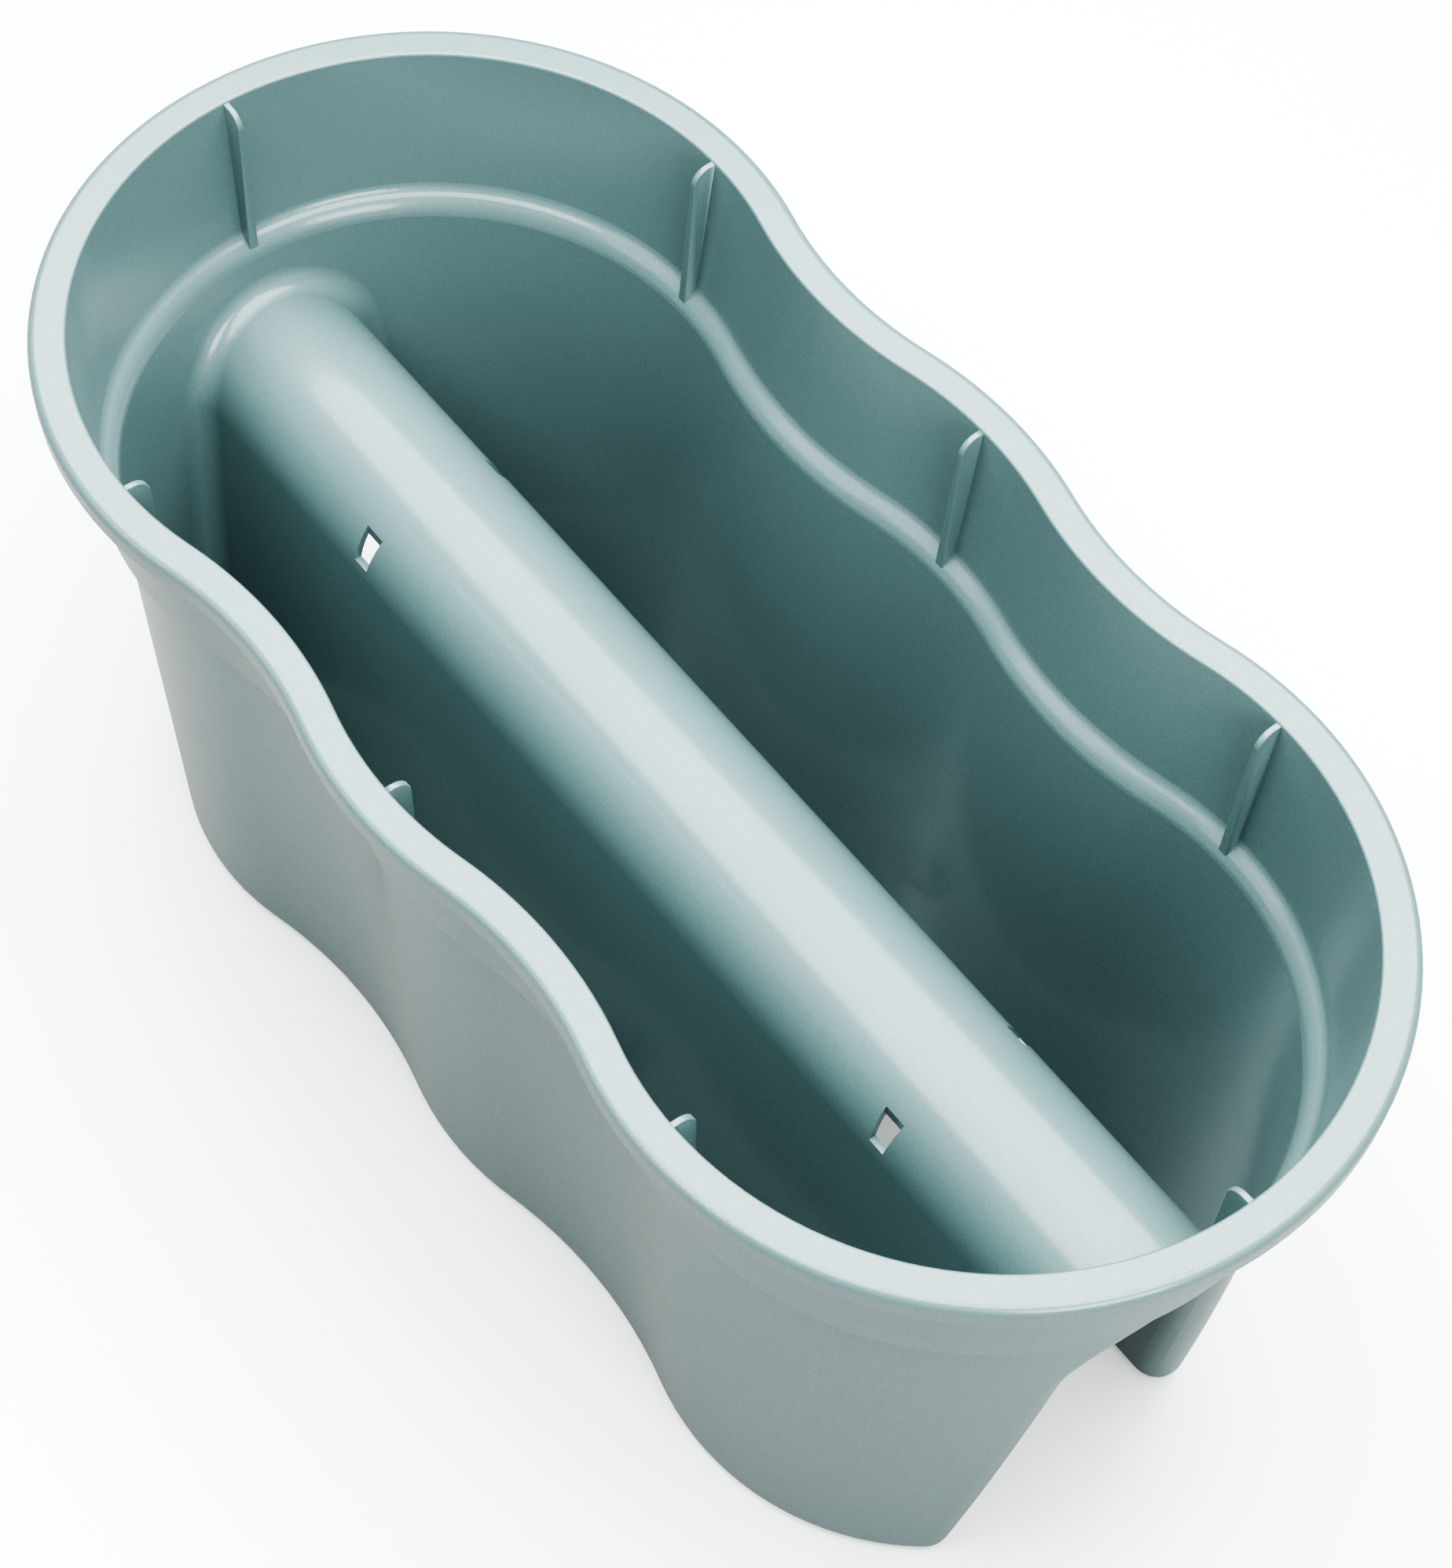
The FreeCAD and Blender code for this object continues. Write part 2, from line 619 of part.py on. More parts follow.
def make_ribs(rings):
    """Eight upright ribs that stand on the ledge against the wall, thicker at the foot."""
    front_tan = "tan(Sizes.rib_front_draft * 1deg)"
    side_tan = "tan(Sizes.rib_side_draft * 1deg)"
    foot_depth = f"({LEDGE_FRONT_DEPTH} + Sizes.rib_foot_drop)"
    tall = f"({foot_depth} - Sizes.rib_top_depth)"
    top_back = WALL_INSET.format(depth="Sizes.rib_top_depth")
    nose = f"({top_back} + Sizes.rib_reach)"
    foot_front = f"({nose} + {tall} * {front_tan})"
    foot_thickness = f"(Sizes.rib_thickness + 2 * {tall} * {side_tan})"
    root = "Sizes.rib_root"
    sink = f"({root} + {ledge_nose_cut()})"
    corners = [
        (f"{top_back} - {root}", "Sizes.rib_top_depth"),
        (nose, "Sizes.rib_top_depth"),
        (foot_front, foot_depth),
        (f"{lower_inset(foot_depth, False)} - {root}", foot_depth),
        (f"{LEDGE_FRONT} - {sink}", f"{LEDGE_FRONT_DEPTH} + {sink} / 2"),
        (f"{LEDGE_BACK} - {root} / 2", f"Sizes.ledge_depth + {root}"),
    ]
    half_sections = [("Sizes.rib_thickness / 2", "Sizes.rib_top_depth"), (f"{foot_thickness} / 2", foot_depth)]
    sections = half_sections + [(f"-{y}", depth) for y, depth in reversed(half_sections)]
    ribs = []
    for place, x_formula, y_formula, angle in rib_places():
        name = f"{place}_rib"
        plate = turned_body(name + "_plate", x_formula, y_formula, angle)
        pad = plate_pad(plate, name, heights(corners), foot_thickness)
        top = size("height") - size("rib_top_depth")
        reach = value_of(nose)
        edges = edges_where(pad.Shape, lambda p: abs(p.z - top) < TINY and abs(p.x - reach) < TINY)
        round_edges(plate, name + "_nose", pad, edges, "Sizes.rib_nose")
        taper = turned_body(name + "_taper", x_formula, y_formula, angle)
        plate_pad(taper, name + "_taper", heights(sections), f"2 * {foot_front}", "YZ_Plane")
        rib = common(name + "_blank", plate, taper)
        for number, ring_body in enumerate(rings, start=1):
            rib = cut(name if ring_body is rings[-1] else f"{name}_trim_{number}", rib, ring_body)
        ribs.append(rib)
    doc.recompute()
    return ribs


def make_gussets(upper_wall):
    """Eight small webs that brace the skirt from the wall, opposite the ribs."""
    back = f"({WALL_INSET.format(depth='Sizes.rim_thickness')} - Sizes.wall)"
    foot = f"({WALL_INSET.format(depth='(Sizes.skirt_drop + Sizes.gusset_drop)')} - Sizes.wall)"
    edge = "(Sizes.skirt_lean + Sizes.skirt_thickness)"
    half_wall = "Sizes.wall / 2"
    corners = [
        ("Sizes.skirt_thickness + Sizes.rim_lip", "Sizes.rim_thickness"),
        (f"{back} + {half_wall}", "Sizes.rim_thickness"),
        (f"{foot} + {half_wall}", "Sizes.skirt_drop + Sizes.gusset_drop"),
        (foot, "Sizes.skirt_drop + Sizes.gusset_drop"),
        (edge, "Sizes.skirt_drop"),
    ]
    webs = []
    for place, x_formula, y_formula, angle in rib_places():
        name = f"{place}_gusset"
        body = turned_body(name + "_blank", x_formula, y_formula, angle)
        plate_pad(body, name, heights(corners), "Sizes.gusset_thickness")
        webs.append(cut(name, body, upper_wall))
    group = doc.addObject("Part::Compound", "skirt_gussets")
    group.Links = webs
    doc.recompute()
    return group


def make_bung(side):
    """A push-in drain bung: a shank in the floor's bore, a flange on the floor and a grip tab."""
    reach = f"-{drain_reach()}" if side == "front" else drain_reach()
    name = f"{side}_drain_bung"
    shank = post(f"{name}_shank", "Sizes.drain_bore / 2 - Sizes.bung_fit",
                 "Sizes.floor_thickness - Sizes.bung_recess", "0", reach, "Sizes.bung_recess")
    flange = post(f"{name}_flange", "Sizes.bung_flange_radius", "Sizes.bung_flange_height",
                  "0", reach, "Sizes.floor_thickness")
    tab = block(f"{name}_tab",
                ("Sizes.bung_tab_width", "Sizes.bung_tab_thickness", "Sizes.bung_tab_height"),
                ("-Sizes.bung_tab_width / 2", f"{reach} - Sizes.bung_tab_thickness / 2",
                 "Sizes.floor_thickness + Sizes.bung_flange_height"))
    bung = doc.addObject("Part::MultiFuse", name)
    bung.Shapes = [shank, flange, tab]
    doc.recompute()
    return bung


def check(parts):
    """Stops on any failed object and on any piece without a valid solid."""
    failed = [o.Name for o in doc.Objects if set(o.State) & {"Invalid", "Error"}]
    if failed:
        raise RuntimeError(f"these objects did not compute: {failed}")
    for part in parts:
        shape = part.Shape
        if shape.isNull() or not shape.isValid() or shape.Volume <= 0:
            raise RuntimeError(f"{part.Name} has no valid solid")


def main():
    """Builds every piece, checks it and writes one STEP file for each."""
    zones = make_zones()
    rim = make_rim()
    upper_wall = make_upper_wall()
    ledge = make_ledge()
    parts = split(rim, "rim", zones, RING_ZONES)
    parts += split(upper_wall, "upper_wall", zones, RING_ZONES)
    parts += split(ledge, "ledge", zones, RING_ZONES)
    parts += make_pockets(zones)
    parts += make_ribs([rim, upper_wall, ledge])
    parts.append(make_gussets(upper_wall))
    parts += [make_bung(side) for side in ("front", "rear")]
    doc.recompute()
    check(parts)
    os.makedirs("parts", exist_ok=True)
    for part in parts:
        part.Label = part.Name
        part.Shape.exportStep(f"parts/{part.Name}.step")
        print(part.Name, len(part.Shape.Solids), round(part.Shape.Volume))


main()
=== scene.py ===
"""Saddle-backed feed trough: finishes, ribs, drain bungs, studio and camera, over the fixed CAD frame."""
import json
import logging
import math
from collections.abc import Callable
from dataclasses import dataclass
from enum import Enum

import bmesh
import bpy
from mathutils import Matrix, Vector


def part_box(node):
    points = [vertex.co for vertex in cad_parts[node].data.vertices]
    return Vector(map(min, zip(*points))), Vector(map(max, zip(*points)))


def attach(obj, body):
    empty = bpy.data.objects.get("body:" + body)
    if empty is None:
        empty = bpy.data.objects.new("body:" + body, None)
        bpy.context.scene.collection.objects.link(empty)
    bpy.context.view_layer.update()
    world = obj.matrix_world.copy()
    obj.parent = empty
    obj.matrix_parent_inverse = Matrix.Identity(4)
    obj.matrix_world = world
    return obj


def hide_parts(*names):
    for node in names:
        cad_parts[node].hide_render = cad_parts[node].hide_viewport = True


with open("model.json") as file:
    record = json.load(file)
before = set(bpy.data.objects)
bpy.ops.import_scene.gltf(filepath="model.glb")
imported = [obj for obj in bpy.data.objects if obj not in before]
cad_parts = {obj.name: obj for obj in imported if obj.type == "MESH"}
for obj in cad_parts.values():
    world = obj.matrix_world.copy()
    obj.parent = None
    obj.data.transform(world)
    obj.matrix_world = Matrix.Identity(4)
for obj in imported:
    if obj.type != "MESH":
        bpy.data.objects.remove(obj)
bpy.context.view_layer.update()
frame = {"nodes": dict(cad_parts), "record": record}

MM = 0.001
UP = Vector((0, 0, 1))

# Two heights or two corners nearer to each other than this are taken as one, in metres.
NEAR = 0.01 * MM

# A face whose normal has more than this along a direction looks that way.
SQUARE_ON = 0.9

log = logging.getLogger("trough")


def linear(hex_colour: str) -> tuple[float, float, float, float]:
    """Turns an sRGB hex colour into a linear colour.

    Args:
        hex_colour: Six hex digits, such as "8FB0AF".

    Returns:
        Red, green, blue and an alpha of 1, all linear.
    """
    parts = [int(hex_colour[i:i + 2], 16) / 255 for i in (0, 2, 4)]
    red, green, blue = (c / 12.92 if c <= 0.04045 else ((c + 0.055) / 1.055) ** 2.4 for c in parts)
    return red, green, blue, 1.0


def add_node(tree: bpy.types.NodeTree, kind: str, links: dict | None = None, **settings: object) -> bpy.types.Node:
    """Adds one node to a tree, with its settings and the links into it.

    Args:
        tree: The node tree to add it to.
        kind: The node's type name.
        links: For each input socket's name or number, either a value or the output socket that feeds it.
        settings: Properties set on the node itself, such as its operation.

    Returns:
        The new node.
    """
    node = tree.nodes.new(kind)
    for name, value in settings.items():
        setattr(node, name, value)
    for socket, source in (links or {}).items():
        if isinstance(source, bpy.types.NodeSocket):
            tree.links.new(source, node.inputs[socket])
        else:
            node.inputs[socket].default_value = source
    return node


class Grain(Enum):
    """How the mould that shaped a plastic surface was finished: size of its grain and depth, in millimetres."""

    SPARK_ERODED = (0.9, 0.05)
    SATIN = (0.5, 0.01)


@dataclass(frozen=True)
class MouldedPlastic:
    """A moulded plastic, coloured right through, with the grain that its mould gave it.

    Attributes:
        name: The material's name.
        body: The plastic's own colour, as sRGB hex.
        cloud: The colour that the pigment drifts to over a hand's width, as sRGB hex.
        fleck: The colour of its fine flecks, as sRGB hex.
        grain: How the mould was finished.
        roughness: The roughness of its surface, from 0 to 1.
        skin: How much of a smoother skin lies over it, from 0 to 1.
        skin_roughness: The roughness of that skin.
        swing: How far the roughness rises and falls with the grain.
        flow_length: How far the pigment drifts where the melt flowed, in metres.
        cloud_share: The most that the drift changes the colour, from 0 to 1.
        fleck_share: The most that a fleck changes the colour, from 0 to 1.
        ior: The plastic's index of refraction.
        skin_ior: The skin's index of refraction.
    """

    name: str
    body: str
    cloud: str
    fleck: str
    grain: Grain
    roughness: float
    skin: float
    skin_roughness: float
    swing: float = 0.05
    flow_length: float = 90 * MM
    cloud_share: float = 0.5
    fleck_share: float = 0.55
    ior: float = 1.49
    skin_ior: float = 1.5

    def make(self) -> bpy.types.Material:
        """Builds the material.

        Returns:
            The finished material.
        """
        material = bpy.data.materials.new(self.name)
        material.use_nodes = True
        material.diffuse_color = linear(self.body)
        tree = material.node_tree
        tree.nodes.clear()
        grit, depth = self.grain.value
        place = add_node(tree, "ShaderNodeTexCoord").outputs["Object"]
        # Pigment drifts a little where the melt flowed, over a hand's width.
        drift = add_node(tree, "ShaderNodeTexNoise", {
            "Vector": place, "Scale": 1 / self.flow_length, "Detail": 2.0, "Roughness": 0.4})
        flow = add_node(tree, "ShaderNodeMapRange", {
            "Value": drift.outputs["Fac"], "From Min": 0.35, "From Max": 0.65, "To Max": self.cloud_share})
        # The grain of a real mould is about 0.3 mm; it is drawn coarser, or it would not show.
        speck = add_node(tree, "ShaderNodeTexNoise", {
            "Vector": place, "Scale": 1 / (grit * MM), "Detail": 1.0, "Roughness": 0.6})
        flecks = add_node(tree, "ShaderNodeMapRange", {
            "Value": speck.outputs["Fac"], "From Min": 0.38, "From Max": 0.62, "To Max": self.fleck_share})
        tone = add_node(tree, "ShaderNodeMix", {
            0: flow.outputs[0], 6: linear(self.body), 7: linear(self.cloud)}, data_type="RGBA")
        colour = add_node(tree, "ShaderNodeMix", {
            0: flecks.outputs[0], 6: tone.outputs[2], 7: linear(self.fleck)}, data_type="RGBA")
        gloss = add_node(tree, "ShaderNodeMapRange", {
            "Value": speck.outputs["Fac"], "From Min": 0.3, "From Max": 0.7,
            "To Min": self.roughness - self.swing, "To Max": self.roughness + self.swing})
        bump = add_node(tree, "ShaderNodeBump", {
            "Height": speck.outputs["Fac"], "Strength": 1.0, "Distance": depth * MM})
        shader = add_node(tree, "ShaderNodeBsdfPrincipled", {
            "Base Color": colour.outputs[2], "Roughness": gloss.outputs[0], "IOR": self.ior,
            "Coat Weight": self.skin, "Coat Roughness": self.skin_roughness, "Coat IOR": self.skin_ior,
            "Normal": bump.outputs["Normal"]})
        add_node(tree, "ShaderNodeOutputMaterial", {"Surface": shader.outputs["BSDF"]})
        return material


# Injection-moulded polypropylene from a spark-eroded mould: a fine fleck under a glossy skin, so that level faces
# gleam and deep walls stay dark.
SHELL_PLASTIC = MouldedPlastic(
    name="moulded_polypropylene_grey_green", body="5A7070", cloud="566C6C", fleck="516565",
    grain=Grain.SPARK_ERODED, roughness=0.5, skin=0.7, skin_roughness=0.16)

# Moulded low-density polyethylene: darker and softer, with a satin, slightly waxy face.
BUNG_PLASTIC = MouldedPlastic(
    name="moulded_polyethylene_dark_green", body="4F6A69", cloud="4A6463", fleck="456060",
    grain=Grain.SATIN, roughness=0.38, skin=0.3, skin_roughness=0.25)


def select_only(piece: bpy.types.Object) -> None:
    """Leaves one object selected and active.

    Args:
        piece: The object to leave selected.
    """
    bpy.ops.object.select_all(action="DESELECT")
    piece.select_set(True)
    bpy.context.view_layer.objects.active = piece


def apply_place(piece: bpy.types.Object) -> None:
    """Puts an object's place, turn and scale into its mesh."""
    select_only(piece)
    bpy.ops.object.transform_apply(location=True, rotation=True, scale=True)


def pick_faces(piece: bpy.types.Object, wanted: Callable[[bmesh.types.BMFace], bool]) -> None:
    """Selects the faces of the mesh in edit mode that pass a test, and no others.

    Args:
        piece: The object in edit mode.
        wanted: A test that takes a face.
    """
    bpy.ops.mesh.select_mode(type="FACE")
    bpy.ops.mesh.select_all(action="DESELECT")
    mesh = bmesh.from_edit_mesh(piece.data)
    for face in mesh.faces:
        face.select_set(wanted(face))
    bmesh.update_edit_mesh(piece.data)


def pick_edges(piece: bpy.types.Object, wanted: Callable[[bmesh.types.BMEdge], bool]) -> None:
    """Selects the edges of the mesh in edit mode that pass a test, and no others.

    Args:
        piece: The object in edit mode.
        wanted: A test that takes an edge.
    """
    bpy.ops.mesh.select_mode(type="EDGE")
    bpy.ops.mesh.select_all(action="DESELECT")
    mesh = bmesh.from_edit_mesh(piece.data)
    for edge in mesh.edges:
        edge.select_set(wanted(edge))
    bmesh.update_edit_mesh(piece.data)


def lies_at(edge: bmesh.types.BMEdge, height: float) -> bool:
    """Tells whether both ends of an edge lie at one height."""
    return all(abs(corner.co.z - height) < NEAR for corner in edge.verts)


def finish_piece(piece: bpy.types.Object, name: str, plastic: bpy.types.Material, smooth: float) -> None:
    """Names a new piece, shades it and gives it its one material.

    Args:
        piece: The piece.
        name: Its name.
        plastic: Its material.
        smooth: The angle between faces below which they are shaded as one, in degrees.
    """
    select_only(piece)
    bpy.ops.object.shade_smooth_by_angle(angle=math.radians(smooth))
    piece.name = name
    piece.data.materials.clear()
    piece.data.materials.append(plastic)


@dataclass
class Moulding:
    """The one-piece shell: its regions, dressed in one finish.

    Attributes:
        body: The body that it rides on.
        plastic: Its material.
    """

    body: str
    plastic: bpy.types.Material

    def dress(self) -> None:
        """Gives every region of the shell the same material."""
        for name in sorted(frame["record"]["behaviour"]["bodies"][self.body]):
            piece = frame["nodes"][name]
            piece.data.materials.clear()
            piece.data.materials.append(self.plastic)
            log.info("dressed %s", name)


@dataclass
class Ribs:
    """The eight upright ribs inside the wall, with the small rounds that a mould leaves on their edges.

    Attributes:
        body: The body that they ride on.
        plastic: Their material.
        edge_round: The radius of the round along a rib's two free edges, in metres.
        round_steps: How many faces the round has.
        merge: How near two corners are before they are one, in metres.
        flat: Faces that meet at less than this are joined, in degrees.
        smooth: The angle between faces below which they are shaded as one, in degrees.
        side_share: How squarely a face must look sideways to be one of a rib's two sides, from 0 to 1.
        front_share: How much a face must look inward or up to be a rib's front or top, from 0 to 1.
    """

    body: str
    plastic: bpy.types.Material
    edge_round: float = 0.45 * MM
    round_steps: int = 3
    merge: float = 0.005 * MM
    flat: float = 0.5
    smooth: float = 35
    side_share: float = 0.95
    front_share: float = 0.5

    def inward(self, centre: Vector) -> Vector:
        """The level direction from a rib towards the middle of the trough.

        Args:
            centre: The middle of the rib.

        Returns:
            A unit vector along X for an end rib, or along Y for a side rib.
        """
        on_long_axis = abs(centre.y) < 1 * MM
        if on_long_axis:
            return Vector((-math.copysign(1, centre.x), 0, 0))
        return Vector((0, -math.copysign(1, centre.y), 0))

    def is_free(self, edge: bmesh.types.BMEdge, inward: Vector) -> bool:
        """Tells whether an edge is one of a rib's free ones, between a side and its front or top.

        Args:
            edge: The edge.
            inward: The level direction from the rib towards the middle of the trough.

        Returns:
            Whether the edge gets a round.
        """
        across = inward.cross(UP)
        sides = [face for face in edge.link_faces if abs(face.normal.dot(across)) > self.side_share]
        fronts = [face for face in edge.link_faces if face not in sides
                  and face.normal.dot(inward) + max(face.normal.z, 0) > self.front_share]
        return len(sides) == 1 and len(fronts) == 1

    def build(self, name: str) -> bpy.types.Object:
        """Copies one rib, joins its loose triangles and rounds its free edges.

        Args:
            name: The CAD node of the rib.

        Returns:
            The finished rib.
        """
        low, high = (Vector(corner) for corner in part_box(name))
        inward = self.inward((low + high) / 2)
        rib = bpy.data.objects.new(f"{name}_moulded", frame["nodes"][name].data.copy())
        bpy.context.scene.collection.objects.link(rib)
        rib.matrix_world = frame["nodes"][name].matrix_world.copy()
        apply_place(rib)
        bpy.ops.object.mode_set(mode="EDIT")
        bpy.ops.mesh.select_all(action="SELECT")
        bpy.ops.mesh.remove_doubles(threshold=self.merge)
        bpy.ops.mesh.dissolve_limited(angle_limit=math.radians(self.flat))
        pick_edges(rib, lambda edge: self.is_free(edge, inward))
        bpy.ops.mesh.bevel(
            offset=self.edge_round, offset_type="OFFSET", segments=self.round_steps, affect="EDGES")
        bpy.ops.mesh.select_all(action="SELECT")
        bpy.ops.mesh.remove_doubles(threshold=self.merge)
        bpy.ops.object.mode_set(mode="OBJECT")
        finish_piece(rib, f"{name}_moulded", self.plastic, self.smooth)
        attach(rib, self.body)
        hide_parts(name)
        return rib

    def make(self) -> None:
        """Builds every rib of the body."""
        for name in sorted(frame["record"]["behaviour"]["bodies"][self.body]):
            if name.endswith("_rib"):
                self.build(name)
                log.info("moulded %s", name)


@dataclass
class DrainBung:
    """A push-in drain bung: a shank with a lead-in, a flange with a rounded rim and a grip tab.

    Attributes:
        node: The CAD node that it stands for.
        body: The body that it rides on.
        plastic: Its material.
        sides: How many straight sides its round parts have.
        rim_steps: How many faces the round on the flange's rim has.
        corner_steps: How many faces the round on each of the tab's upper corners has.
        bevel_steps: How many faces the small bevels have.
        shank_radius: The radius of the shank, in metres.
        shank_height: The height of the shank, in metres.
        flange_height: The height of the flange, in metres.
        edge_round: The radius of the round on the flange's rim, in metres.
        lead_in: The size of the bevel at the shank's foot, in metres.
        rim_width: The width of the flat rim round the flange's dish, in metres.
        dish_slope: The width of the dish's sloping side, in metres.
        dish_depth: The depth of the dish, in metres.
        tab_width: The width of the grip tab, in metres.
        tab_thickness: The thickness of the grip tab, in metres.
        tab_round: The radius of the tab's upper corners, in metres.
        tab_soften: The size of the bevel along the tab's edges, in metres.
        tab_soften_from: Edges sharper than this are softened, in degrees.
        tab_root: How deep the tab is let into the flange, in metres.
        hollow_rim: The width of the flat rim round a thumb hollow, in metres.
        hollow_slope: The width of the hollow's sloping side, in metres.
        hollow_depth: The depth of the hollow, in metres.
        smooth: The angle between faces below which they are shaded as one, in degrees.
    """

    node: str
    body: str
    plastic: bpy.types.Material
    sides: int = 64
    rim_steps: int = 5
    corner_steps: int = 8
    bevel_steps: int = 2
    shank_radius: float = 6.7 * MM
    shank_height: float = 2.7 * MM
    flange_height: float = 2.5 * MM
    edge_round: float = 0.8 * MM
    lead_in: float = 0.4 * MM
    rim_width: float = 1.6 * MM
    dish_slope: float = 0.5 * MM
    dish_depth: float = 0.4 * MM
    tab_width: float = 12 * MM
    tab_thickness: float = 3 * MM
    tab_round: float = 4 * MM
    tab_soften: float = 0.25 * MM
    tab_soften_from: float = 40
    tab_root: float = 1 * MM
    hollow_rim: float = 1.1 * MM
    hollow_slope: float = 0.6 * MM
    hollow_depth: float = 0.5 * MM
    smooth: float = 30

    def turned_part(self, centre: Vector, floor: float) -> bpy.types.Object:
        """Shapes the shank and the flange from one cylinder.

        Args:
            centre: The bung's axis, as a point.
            floor: The height of the bung's lowest face, in metres.

        Returns:
            The shank and flange, still with its place on the object.
        """
        low, high = (Vector(corner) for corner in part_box(self.node))
        flange_radius = (high.x - low.x) / 2
        bpy.ops.object.select_all(action="DESELECT")
        bpy.ops.mesh.primitive_cylinder_add(
            vertices=self.sides, radius=self.shank_radius, depth=self.shank_height,
            location=(centre.x, centre.y, floor + self.shank_height / 2))
        turned = bpy.context.object
        apply_place(turned)
        bpy.ops.object.mode_set(mode="EDIT")
        pick_faces(turned, lambda face: face.normal.z > SQUARE_ON)
        bpy.ops.mesh.extrude_region_move(TRANSFORM_OT_translate={"value": (0, 0, 0)})
        grow = flange_radius / self.shank_radius
        bpy.ops.transform.resize(value=(grow, grow, 1), center_override=centre)
        bpy.ops.mesh.extrude_region_move(TRANSFORM_OT_translate={"value": (0, 0, self.flange_height)})
        top = floor + self.shank_height + self.flange_height
        pick_edges(turned, lambda edge: lies_at(edge, top))
        bpy.ops.mesh.bevel(offset=self.edge_round, segments=self.rim_steps, affect="EDGES")
        pick_edges(turned, lambda edge: lies_at(edge, floor))
        bpy.ops.mesh.bevel(offset=self.lead_in, segments=self.bevel_steps, affect="EDGES")
        # A shallow dish in the flange's top, round the tab.
        pick_faces(turned, lambda face: face.normal.z > SQUARE_ON and face.calc_center_median().z > top - NEAR)
        bpy.ops.mesh.inset(thickness=self.rim_width)
        bpy.ops.mesh.inset(thickness=self.dish_slope, depth=-self.dish_depth)
        bpy.ops.object.mode_set(mode="OBJECT")
        return turned

    def tab_part(self, centre: Vector, floor: float) -> bpy.types.Object:
        """Shapes the grip tab from a block: rounded upper corners, a thumb hollow in each side, softened edges.

        Args:
            centre: The bung's axis, as a point.
            floor: The height of the bung's lowest face, in metres.

        Returns:
            The tab, still a separate object.
        """
        foot = floor + self.shank_height + self.flange_height - self.tab_root
        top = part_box(self.node)[1][2]
        bpy.ops.object.select_all(action="DESELECT")
        bpy.ops.mesh.primitive_cube_add(size=1, location=(centre.x, centre.y, (foot + top) / 2))
        tab = bpy.context.object
        tab.scale = (self.tab_width, self.tab_thickness, top - foot)
        apply_place(tab)
        bpy.ops.object.mode_set(mode="EDIT")
        pick_edges(tab, lambda edge: lies_at(edge, top) and abs(edge.verts[0].co.x - edge.verts[1].co.x) < NEAR)
        bpy.ops.mesh.bevel(offset=self.tab_round, segments=self.corner_steps, affect="EDGES")
        pick_faces(tab, lambda face: abs(face.normal.y) > SQUARE_ON)
        bpy.ops.mesh.inset(thickness=self.hollow_rim, use_individual=True)
        bpy.ops.mesh.inset(thickness=self.hollow_slope, depth=-self.hollow_depth, use_individual=True)
        bpy.ops.object.mode_set(mode="OBJECT")
        soften = tab.modifiers.new("soften", "BEVEL")
        soften.width = self.tab_soften
        soften.segments = self.bevel_steps
        soften.limit_method = "ANGLE"
        soften.angle_limit = math.radians(self.tab_soften_from)
        select_only(tab)
        bpy.ops.object.modifier_apply(modifier="soften")
        return tab

    def make(self) -> bpy.types.Object:
        """Builds the bung as one closed piece and seats it on its body.

        Returns:
            The finished bung.
        """
        low, high = (Vector(corner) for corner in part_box(self.node))
        centre = Vector(((low.x + high.x) / 2, (low.y + high.y) / 2, low.z))
        turned = self.turned_part(centre, low.z)
        tab = self.tab_part(centre, low.z)
        select_only(turned)
        join = turned.modifiers.new("join", "BOOLEAN")
        join.operation = "UNION"
        join.object = tab
        bpy.ops.object.modifier_apply(modifier="join")
        bpy.data.objects.remove(tab)
        finish_piece(turned, f"{self.node}_moulded", self.plastic, self.smooth)
        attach(turned, self.body)
        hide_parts(self.node)
        log.info("moulded %s", self.node)
        return turned


@dataclass(frozen=True)
class Softbox:
    """One square soft light.

    Attributes:
        name: The light's name.
        place: Where it hangs, in metres.
        side: Its side, in metres.
        power: Its power, in watts.
    """

    name: str
    place: tuple[float, float, float]
    side: float
    power: float

    def hang(self, aim: Vector, tint: str) -> None:
        """Hangs the light.

        Args:
            aim: The point that it faces.
            tint: Its colour, as sRGB hex.
        """
        data = bpy.data.lights.new(self.name, "AREA")
        data.shape = "SQUARE"
        data.size = self.side
        data.energy = self.power
        data.color = linear(tint)[:3]
        lamp = bpy.data.objects.new(self.name, data)
        lamp.location = self.place
        lamp.rotation_mode = "QUATERNION"
        lamp.rotation_quaternion = (aim - Vector(self.place)).to_track_quat("-Z", "Y")
        bpy.context.scene.collection.objects.link(lamp)


# The wide soft light overhead, and the weak ones beyond the right end and the front.
SOFTBOXES = (
    Softbox("overhead_softbox", (-0.15, 0.14, 1.5), side=2.1, power=88),
    Softbox("end_softbox", (1.9, -0.4, 1.1), side=1.0, power=26),
    Softbox("front_softbox", (-0.9, -1.9, 1.3), side=1.2, power=8))


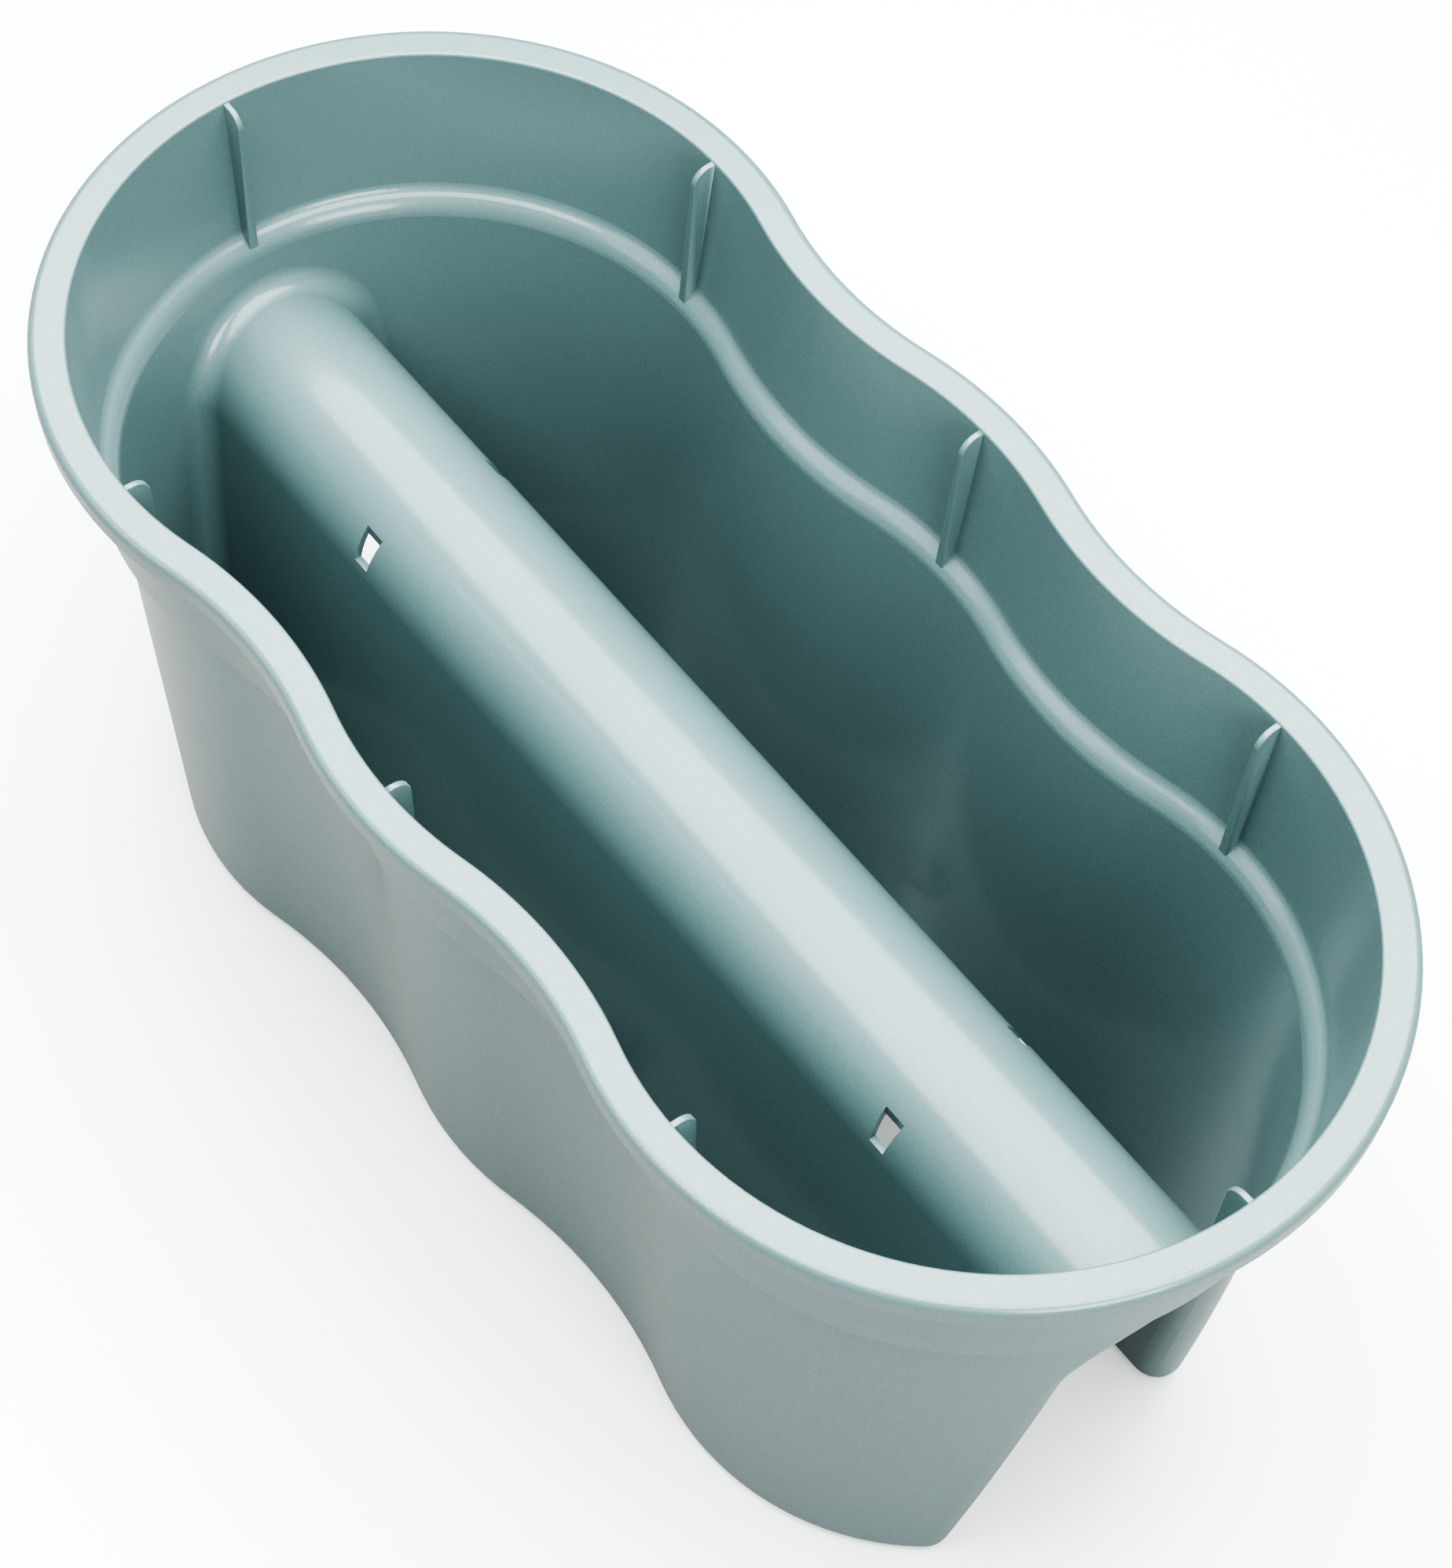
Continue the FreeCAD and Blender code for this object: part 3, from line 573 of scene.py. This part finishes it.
@dataclass
class Studio:
    """The pale floor, the soft lights and the camera.

    Attributes:
        floor_half: Half the floor's side, in metres.
        paper: The colour of the floor that is seen, as sRGB hex.
        paper_roughness: How dull both sheets of the floor are, from 0 to 1.
        paper_glow: How much light the floor that is seen gives of its own, as a lit table does.
        bounce: The colour of the floor that lights the object's sides, as sRGB hex.
        bounce_drop: How far the floor of that colour lies below the one that is seen, in metres.
        lights: The softboxes.
        aim: The height over the origin that the softboxes face, in metres.
        tint: The softboxes' colour, as sRGB hex.
        room: How bright the room's fill is.
        eye: Where the camera stands, in metres.
        azimuth: The direction that the camera stands in, from the object, in degrees from +X towards +Y.
        elevation: How far the camera looks down, in degrees.
        roll: How far the camera leans, in degrees.
        lens: The focal length, in millimetres.
        sensor: The width of the camera's sensor, in millimetres.
        shift: How far the lens is shifted, as shares of the picture's longer side.
        clip: The nearest and the furthest that the camera sees, in metres.
        look: The contrast that the picture is developed with.
        exposure: The exposure that it is developed with, in stops.
    """

    floor_half: float = 3.0
    paper: str = "F4F4F2"
    paper_roughness: float = 0.9
    paper_glow: float = 0.08
    bounce: str = "A2A2A0"
    bounce_drop: float = 0.5 * MM
    lights: tuple[Softbox, ...] = SOFTBOXES
    aim: float = 0.15
    tint: str = "F9FEFF"
    room: float = 0.14
    eye: tuple[float, float, float] = (0.6020, -0.5173, 1.3617)
    azimuth: float = -40.80
    elevation: float = 57.43
    roll: float = -3.84
    lens: float = 89.51
    sensor: float = 36
    shift: tuple[float, float] = (0.0278, 0.0463)
    clip: tuple[float, float] = (0.05, 50)
    look: str = "AgX - Very High Contrast"
    exposure: float = 0.35

    def sheet(self, name: str, colour: str, glow: float, height: float) -> bpy.types.Object:
        """Lays one flat sheet of the floor.

        Args:
            name: The sheet's name.
            colour: Its colour, as sRGB hex.
            glow: How much light it gives of its own.
            height: The height that it lies at, in metres.

        Returns:
            The sheet.
        """
        bpy.ops.object.select_all(action="DESELECT")
        bpy.ops.mesh.primitive_plane_add(size=2 * self.floor_half, location=(0, 0, height))
        plane = bpy.context.object
        plane.name = name
        material = bpy.data.materials.new(f"{name}_paper")
        material.use_nodes = True
        shader = material.node_tree.nodes["Principled BSDF"]
        shader.inputs["Base Color"].default_value = linear(colour)
        shader.inputs["Roughness"].default_value = self.paper_roughness
        shader.inputs["Emission Color"].default_value = linear("FFFFFF")
        shader.inputs["Emission Strength"].default_value = glow
        plane.data.materials.append(material)
        return plane

    def floor(self) -> None:
        """Lays a white sheet that is seen, and a grey one just under it that lights the object's sides."""
        white = self.sheet("studio_floor", self.paper, self.paper_glow, 0)
        white.visible_diffuse = False
        white.visible_glossy = False
        white.visible_shadow = False
        grey = self.sheet("bounce_floor", self.bounce, 0, -self.bounce_drop)
        grey.visible_camera = False

    def light(self) -> None:
        """Sets the room's fill and hangs the softboxes."""
        world = bpy.data.worlds.new("studio")
        world.use_nodes = True
        sky = world.node_tree.nodes["Background"]
        sky.inputs["Color"].default_value = linear("FFFFFF")
        sky.inputs["Strength"].default_value = self.room
        bpy.context.scene.world = world
        for softbox in self.lights:
            softbox.hang(UP * self.aim, self.tint)

    def camera(self) -> None:
        """Stands the camera."""
        turn, tilt, lean = (math.radians(a) for a in (self.azimuth, self.elevation, self.roll))
        back = Vector((math.cos(turn) * math.cos(tilt), math.sin(turn) * math.cos(tilt), math.sin(tilt)))
        level = UP.cross(back).normalized()
        up = back.cross(level)
        right = level * math.cos(lean) - up * math.sin(lean)
        data = bpy.data.cameras.new("camera")
        data.lens = self.lens
        data.sensor_width = self.sensor
        data.shift_x, data.shift_y = self.shift
        data.clip_start, data.clip_end = self.clip
        camera = bpy.data.objects.new("camera", data)
        camera.rotation_mode = "QUATERNION"
        camera.matrix_world = Matrix((right, back.cross(right), back)).transposed().to_4x4()
        camera.location = self.eye
        bpy.context.scene.collection.objects.link(camera)
        bpy.context.scene.camera = camera

    def develop(self) -> None:
        """Sets how the picture is developed."""
        view = bpy.context.scene.view_settings
        view.view_transform = "AgX"
        view.look = self.look
        view.exposure = self.exposure

    def make(self) -> None:
        """Builds the whole set."""
        self.floor()
        self.light()
        self.camera()
        self.develop()


def main() -> None:
    """Builds the scene, class by class."""
    logging.basicConfig(level=logging.INFO, format="%(name)s: %(message)s")
    shell = SHELL_PLASTIC.make()
    Moulding("trough", shell).dress()
    Ribs("trough", shell).make()
    bung = BUNG_PLASTIC.make()
    DrainBung("front_drain_bung", "front_bung", bung).make()
    DrainBung("rear_drain_bung", "rear_bung", bung).make()
    Studio().make()


if __name__ == "__main__":
    main()
